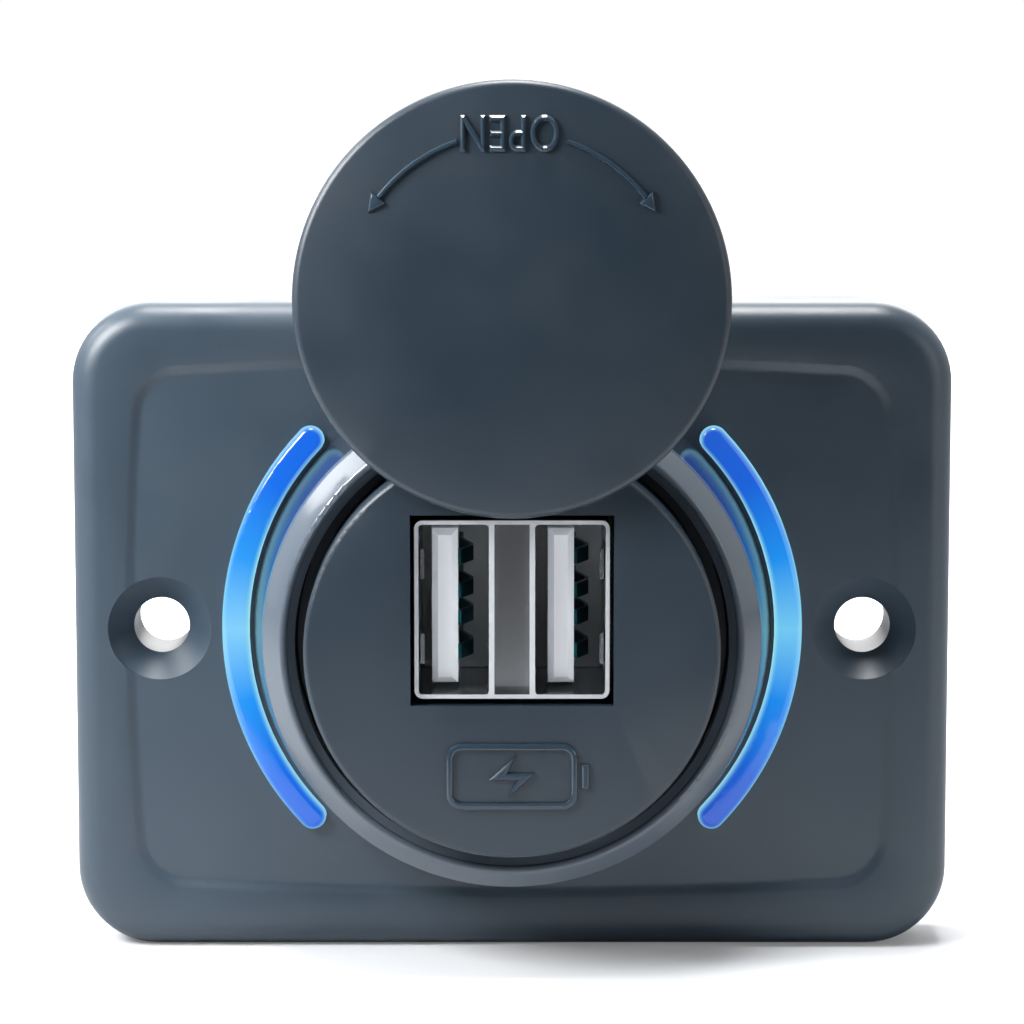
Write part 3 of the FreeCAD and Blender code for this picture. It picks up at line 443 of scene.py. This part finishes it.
# %% [markdown]
# Each node now takes its finish. It could be named for every node, but the record's slots already say
# which finish goes where. Four nodes have a finish of their own: the two bars, and the cap and the disc
# in the darker batch.

# %% Finishes on the nodes
FINISH = {
    "slate_plastic": slate_plastic, "bezel_plastic": bezel_plastic, "black_plastic": black_plastic,
    "white_plastic": white_plastic, "black_rubber": black_rubber, "circuit_board": circuit_board,
    "lamp_body": lamp_body, "component_black": component_black, "lead_insulation": red_insulation,
    "ferrite": ferrite, "capacitor_can": can_aluminium, "tinned_steel": shell_steel,
    "contact_metal": contact_metal, "tinned_brass": tinned_brass, "plated_screw": screw_zinc,
    "spring_steel": spring_steel,
}
OWN_FINISH = {"light_bar_left": left_guide, "light_bar_right": right_guide,
              "swing_cap": cover_plastic, "face_insert": cover_plastic}
slots = {entry["node"]: entry["material_slot"] for entry in frame["record"]["subparts"]}
for node, piece in shown.items():
    finish = OWN_FINISH.get(node) or FINISH[slots[node]]
    piece.data.materials.clear()
    piece.data.materials.append(finish)
print("finished nodes", len(shown))

# %% [markdown]
# The raised marks are thin mouldings on a face. They could be painted on as bumps, but a bump throws no
# shadow and vanishes from the side. So each is a bmesh whose flat outline is extruded by a fraction of
# a millimetre and whose front edge gets a small bevel, as a mould cutter leaves it.

# %% Raised marks
mark_height = 0.32 * MM
mark_bevel = 0.16 * MM


def piece_from(name, shape, body, material, sharp_degrees=None):
    """Make a bmesh a piece of the scene that rides on a body."""
    bmesh.ops.recalc_face_normals(shape, faces=shape.faces)
    if sharp_degrees:
        shade_smooth(shape, sharp_degrees)
    mesh = bpy.data.meshes.new(name)
    shape.to_mesh(mesh)
    shape.free()
    mesh.materials.append(material)
    piece = linked(name, mesh)
    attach(piece, body)
    print(name, "faces", len(mesh.polygons))


def raise_faces(shape, faces, height, bevel):
    """Extrude flat faces that look forward (-Y) by a height and bevel the front edges."""
    front = bmesh.ops.extrude_face_region(shape, geom=faces)["geom"]
    verts = [item for item in front if isinstance(item, bmesh.types.BMVert)]
    bmesh.ops.translate(shape, verts=verts, vec=Vector((0, -height, 0)))
    faces = [item for item in front if isinstance(item, bmesh.types.BMFace)]
    rim = {edge for face in faces for edge in face.edges
           if any(other not in faces for other in edge.link_faces)}
    bmesh.ops.bevel(shape, geom=list(rim), offset=bevel, offset_type="OFFSET", affect="EDGES",
                    segments=2, profile=0.5, material=-1)


# %% [markdown]
# The cap's front is a shallow dome. The marks on it are made flat at Y 0 and then dropped: every point
# moves back to the dome's surface in front of it, so a mark's back sinks a little into the cap and its
# front stands proud everywhere by the same height.

# %% Dropping marks on the cap's dome
dome_rise = 1.1 * MM
dome_ball = (cap_radius ** 2 + dome_rise ** 2) / (2 * dome_rise)


def drop_on_cap(shape):
    """Move every point of a flat mark along Y to the cap's dome."""
    for vert in shape.verts:
        reach = math.hypot(vert.co.x, vert.co.z - cap_centre.z)
        vert.co.y += cap_low.y + dome_ball - math.sqrt(dome_ball ** 2 - reach ** 2)


print("the dome's ball radius in mm", round(dome_ball / MM, 1))

# %% [markdown]
# The word on the cap tells which way the cover opens. It is text made into a mesh, because letters drawn
# by hand would take many points. It stands upside down, as the cap is shown swung up by half a turn.
# Its bevel is one flat facet, which catches the light of the lamp above as a crisp white edge.

# %% The word on the cap
word_height = 2.5 * MM
capital_share = 0.70  # a capital's height as a share of the font's size
word_spacing = 1.08
word_narrowing = 0.74
stroke_thinning = 0.10 * MM
word_centre = Vector((-0.2 * MM, 0, cap_centre.z + 12.1 * MM))
weld_distance = 0.001 * MM
text = bpy.data.curves.new("cap_word", "FONT")
text.body = "OPEN"
text.align_x = "CENTER"
text.align_y = "CENTER"
text.size = word_height / capital_share
text.space_character = word_spacing
text.extrude = mark_height - mark_bevel
text.bevel_depth = mark_bevel
text.bevel_resolution = 0
text.offset = -stroke_thinning
holder = linked("cap_word_text", text)
bpy.context.view_layer.update()
depsgraph = bpy.context.evaluated_depsgraph_get()
word = bmesh.new()
word.from_mesh(bpy.data.meshes.new_from_object(holder.evaluated_get(depsgraph)))
bpy.data.objects.remove(holder)
narrow = Matrix.Diagonal((word_narrowing, 1, 1, 1))
turn = Matrix.Rotation(math.pi, 4, "Y") @ Matrix.Rotation(math.pi / 2, 4, "X") @ narrow
bmesh.ops.transform(word, matrix=turn, verts=word.verts)
bmesh.ops.translate(word, verts=word.verts, vec=word_centre)
drop_on_cap(word)
bmesh.ops.remove_doubles(word, verts=word.verts, dist=weld_distance)
piece_from("cap_word_open", word, "cap", polished_marks, 30)

# %% [markdown]
# Two thin arcs with arrowheads run down from the word, since the cap turns either way. An arc is a ridge
# with sloping sides: its profile of six corners is spun about the cap's centre, which keeps the ridge
# even, where a bent bar would pinch. The arrowhead is a flat triangle, raised like the other marks.

# %% The arrows on the cap
arc_radius = 12.05 * MM
arc_width = 0.38 * MM
arc_start = math.radians(19)
arc_end = math.radians(52)
arc_steps = 14
head_length = 1.3 * MM
head_width = 1.4 * MM
side_height = mark_height - mark_bevel
ridge = ((-0.5, -mark_height), (-0.5, side_height), (-0.2, mark_height),
         (0.2, mark_height), (0.5, side_height), (0.5, -mark_height))
triangle = ((arc_radius - head_width / 2, arc_end), (arc_radius + head_width / 2, arc_end),
            (arc_radius, arc_end + head_length / arc_radius))


def round_cap(reach, angle, height):
    """Place at a distance and an angle from the cap's centre, standing out by a height."""
    return Vector((reach * math.sin(angle), -height, cap_centre.z + reach * math.cos(angle)))


for side, name in ((-1, "left"), (1, "right")):
    arrow = bmesh.new()
    corners = [round_cap(arc_radius + share * arc_width, side * arc_start, height)
               for share, height in ridge]
    start = arrow.faces.new([arrow.verts.new(corner) for corner in corners])
    bmesh.ops.spin(arrow, geom=[start] + list(start.edges) + list(start.verts), cent=cap_centre,
                   axis=(0, 1, 0), angle=side * (arc_end - arc_start), steps=arc_steps, use_merge=False,
                   use_duplicate=False)
    head = arrow.faces.new([arrow.verts.new(round_cap(reach, side * angle, -mark_height))
                            for reach, angle in triangle])
    raise_faces(arrow, [head], 2 * mark_height, mark_bevel)
    drop_on_cap(arrow)
    piece_from("cap_arrow_" + name, arrow, "cap", polished_marks, 40)

# %% [markdown]
# Under the outlet stands a small charging sign: a battery outline with a bolt in it. Both are generic
# signs. The outline is a rounded rectangle with an inset, whose middle is taken out again, so the line
# keeps one width round the corners. The bolt is a flat outline of six corners.

# %% The charging sign on the disc
sign_centre = Vector((0, disc_front, -9.1 * MM))
sign_half_width, sign_half_height = 4.8, 2.45  # in mm, as flat_face takes its points
sign_line = 0.5 * MM
sign_corner = 1.1 * MM
knob_place, knob_half_width, knob_half_height = sign_half_width + 0.55, 0.3, 0.9
bolt = ((-1.7, -0.25), (0.35, -0.25), (-0.3, -1.55), (1.7, 0.25), (-0.35, 0.25), (0.3, 1.55))


def flat_face(shape, points, centre):
    """Face that looks along Y, from (across, up) points in millimetres about a centre."""
    return shape.faces.new([shape.verts.new(centre + Vector((x * MM, 0, z * MM))) for x, z in points])


def rectangle(half_x, half_z, middle=0.0):
    """The corners of a rectangle about a place on the X axis."""
    return ((middle - half_x, -half_z), (middle + half_x, -half_z), (middle + half_x, half_z),
            (middle - half_x, half_z))


def largest(shape):
    return max(shape.faces, key=lambda face: face.calc_area())


sign = bmesh.new()
case = flat_face(sign, rectangle(sign_half_width, sign_half_height), sign_centre)
bmesh.ops.bevel(sign, geom=list(case.verts), offset=sign_corner, offset_type="OFFSET",
                affect="VERTICES", segments=5, profile=0.5, material=-1)
bmesh.ops.inset_region(sign, faces=[largest(sign)], thickness=sign_line, use_even_offset=True,
                       use_boundary=True)
bmesh.ops.delete(sign, geom=[largest(sign)], context="FACES")
flat_face(sign, rectangle(knob_half_width, knob_half_height, knob_place), sign_centre)
flat_face(sign, bolt, sign_centre)
raise_faces(sign, list(sign.faces), mark_height, mark_bevel)
piece_from("charging_sign", sign, "housing", polished_marks)

# %% [markdown]
# The barrel carries a coarse thread for the ring nut. Rings would look right from afar, but would have
# no start or end. So one tooth's outline is spun round the axis while it moves back by the pitch at
# each turn, which makes a true screw thread. It starts behind the nut.

# %% The barrel's thread
thread_pitch = 2.0 * MM
thread_depth = 0.22 * MM
thread_sink = 0.12 * MM  # the tooth's foot lies this deep in the barrel
tooth_foot = 1.2 * MM
crest_start, crest_end = 0.45 * MM, 0.75 * MM
thread_steps = 56
thread_gap = 2.9 * MM  # behind the nut
thread_start = nut_back + thread_gap
thread_turns = int((cover_low.y - thread_start) / thread_pitch) - 1
foot_radius = barrel_radius - thread_sink
crest_radius = barrel_radius + thread_depth
profile = ((foot_radius, 0.0), (crest_radius, crest_start), (crest_radius, crest_end),
           (foot_radius, tooth_foot))
thread = bmesh.new()
tooth = [thread.verts.new((reach, thread_start + along, 0)) for reach, along in profile]
edges = [thread.edges.new((a, b)) for a, b in zip(tooth, tooth[1:])]
bmesh.ops.spin(thread, geom=tooth + edges, cent=(0, 0, 0), axis=(0, 1, 0),
               angle=2 * math.pi * thread_turns, steps=thread_steps * thread_turns,
               dvec=(0, thread_pitch / thread_steps, 0), use_merge=False, use_duplicate=False)
piece_from("barrel_thread", thread, "housing", bezel_plastic, 40)

# %% [markdown]
# The rear cover has a moulded plus and minus beside the blades, so that the supply is not swapped. They
# are raised strokes like the marks in front, but they look back, so the height is negative.

# %% Polarity marks
stroke_half_length, stroke_half_width = 1.2, 0.22  # in mm
plus_place = Vector((3.0 * MM, cover_high.y, 7.4 * MM))
minus_place = Vector((-5.0 * MM, cover_high.y, 7.4 * MM))
stroke = rectangle(stroke_half_length, stroke_half_width)
marks = bmesh.new()
flat_face(marks, stroke, plus_place)
flat_face(marks, [(z, x) for x, z in stroke], plus_place)
flat_face(marks, stroke, minus_place)
raise_faces(marks, list(marks.faces), -mark_height, mark_bevel)
piece_from("polarity_marks", marks, "housing", black_plastic)

# %% [markdown]
# The part stands on a pale floor. A sheet curved up behind the part is the usual way to hide the
# horizon, but it would cut into the backdrop's even white. This floor is flat, and it ends a little in
# front of the part, where the metal would mirror it.

# %% Floor
floor_reach = 1.2
floor_front = -0.09
ground = bmesh.new()
bmesh.ops.create_grid(ground, x_segments=1, y_segments=1, size=floor_reach)
ground_mesh = bpy.data.meshes.new("floor")
ground.to_mesh(ground_mesh)
ground.free()
ground_mesh.transform(Matrix.Translation((0, floor_front + floor_reach, floor_z)))
floor = linked("floor", ground_mesh)
print("the floor lies at Z in mm", round(floor_z / MM, 2))

# %% [markdown]
# Near the part the floor shows the lamps' shadow. Away from the part it is lifted to the backdrop's
# white, by a light of its own that grows with the distance, so that no horizon shows. Only the camera
# sees this light, so it doesn't shine on the part.

# %% The floor's paper
lift_centre = (8 * MM, 0, floor_z)
lift_start, lift_end = 28 * MM, 120 * MM
least_lift = 0.14
floor_paper, floor_tree, floor_shader = new_material("white_paper_floor", {
    "Roughness": 0.9, "Base Color": linear("#C9CBCE")})
floor_place = add(floor_tree, "ShaderNodeTexCoord")["Object"]
distance = add(floor_tree, "ShaderNodeVectorMath", {0: floor_place, 1: lift_centre},
               operation="DISTANCE")["Value"]
lift = add(floor_tree, "ShaderNodeMapRange", {
    "Value": distance, "From Min": lift_start, "From Max": lift_end, "To Min": least_lift
}, interpolation_type="SMOOTHSTEP")["Result"]
camera_ray = add(floor_tree, "ShaderNodeLightPath")["Is Camera Ray"]
own_light = add(floor_tree, "ShaderNodeMath", {0: camera_ray, 1: lift}, operation="MULTIPLY")["Value"]
connect(floor_tree, floor_shader, {"Emission Color": linear("#FFFFFF"), "Emission Strength": own_light})
ground_mesh.materials.append(floor_paper)
print("the floor is lifted from", round(lift_start / MM), "to", round(lift_end / MM), "mm off")

# %% [markdown]
# The world is white where the camera, a gloss or clear plastic looks at the backdrop behind the part.
# In front of the part the room is dark, which gives the metal its dark tones. Diffuse light from the
# world stays low, so that the lamps shape the part.

# %% World
room_front, room_behind = 0.05, 1.0
dark_until, white_from = -0.5, 0.2  # how far a ray looks back along Y
diffuse_share = 0.16
world = bpy.data.worlds.new("studio")
bpy.context.scene.world = world
world.use_nodes = True
sky = world.node_tree
looking = add(sky, "ShaderNodeTexCoord")["Generated"]
back = add(sky, "ShaderNodeSeparateXYZ", {"Vector": looking})["Y"]
room = add(sky, "ShaderNodeMapRange", {"Value": back, "From Min": dark_until, "From Max": white_from,
                                       "To Min": room_front, "To Max": room_behind})["Result"]
rays = add(sky, "ShaderNodeLightPath")
seen = add(sky, "ShaderNodeMath", {0: rays["Is Camera Ray"], 1: rays["Is Transmission Ray"]},
           operation="MAXIMUM")["Value"]
unseen = add(sky, "ShaderNodeMix", {"Factor": rays["Is Glossy Ray"], "A": diffuse_share, "B": room},
             data_type="FLOAT")["Result"]
strength = add(sky, "ShaderNodeMix", {"Factor": seen, "A": unseen, "B": 1.0}, data_type="FLOAT")["Result"]
connect(sky, sky.nodes["Background"], {"Color": linear("#FFFFFF"), "Strength": strength})
print("world nodes", len(sky.nodes))

# %% [markdown]
# Five soft lamps. The key is close on the left, so its light falls off towards the right side. A weak
# fill stands on the right. One lamp right above gives the marks their bright upper edges, a tall one
# behind is mirrored in the plate's top face, and one high on the left flashes on the bezel's slope.
# The camera doesn't see the lamps.

# %% Lamps
def soft_lamp(name, place_mm, size_mm, power):
    """Rectangular lamp that looks at the origin, with its power in watts."""
    lamp = bpy.data.lights.new(name, "AREA")
    lamp.shape = "RECTANGLE"
    lamp.size, lamp.size_y = (value * MM for value in size_mm)
    lamp.energy = power
    stand = linked(name, lamp)
    stand.location = Vector(place_mm) * MM
    stand.rotation_euler = (-stand.location).to_track_quat("-Z", "Y").to_euler()
    stand.visible_camera = False
    print(name, "stands at", place_mm, "mm")


soft_lamp("key_left", (-105, -72, 82), (56, 64), 0.39)
soft_lamp("fill_right", (420, -320, 120), (300, 300), 0.6)
soft_lamp("top", (0, 0, 440), (160, 220), 3.4)
soft_lamp("back", (0, 420, 230), (500, 380), 2.2)
soft_lamp("side_left", (-330, 60, 250), (150, 150), 0.7)

# %% [markdown]
# The photo was taken from a little above, by a lens about 318 mm from the plate's field, so the far
# parts look smaller. The height of the picture's centre over the axis comes from the same measurement.

# %% Camera
camera_tilt = math.radians(7.6)
camera_distance_mm = 318
pixels_per_mm = 13.28  # at the plate's field
axis_below_centre = 116.3  # pixels
picture_width = 1024
sensor_width = 36
field_depth = 0.35 * MM
camera_distance = camera_distance_mm * MM
focal_pixels = pixels_per_mm * camera_distance_mm
ahead = Vector((0, math.cos(camera_tilt), -math.sin(camera_tilt)))
upward = Vector((0, math.sin(camera_tilt), math.cos(camera_tilt)))
field = Vector((0, plate_low.y + field_depth, 0))
aim = field + upward * (axis_below_centre / focal_pixels * camera_distance)
lens = bpy.data.cameras.new("camera")
lens.sensor_width = sensor_width
lens.lens = sensor_width * focal_pixels / picture_width
camera = linked("camera", lens)
camera.location = aim - ahead * camera_distance
camera.rotation_euler = (math.pi / 2 - camera_tilt, 0, 0)
bpy.context.scene.camera = camera
bpy.context.scene.view_settings.view_transform = "Standard"
print("camera in mm", [round(value / MM, 1) for value in camera.location])
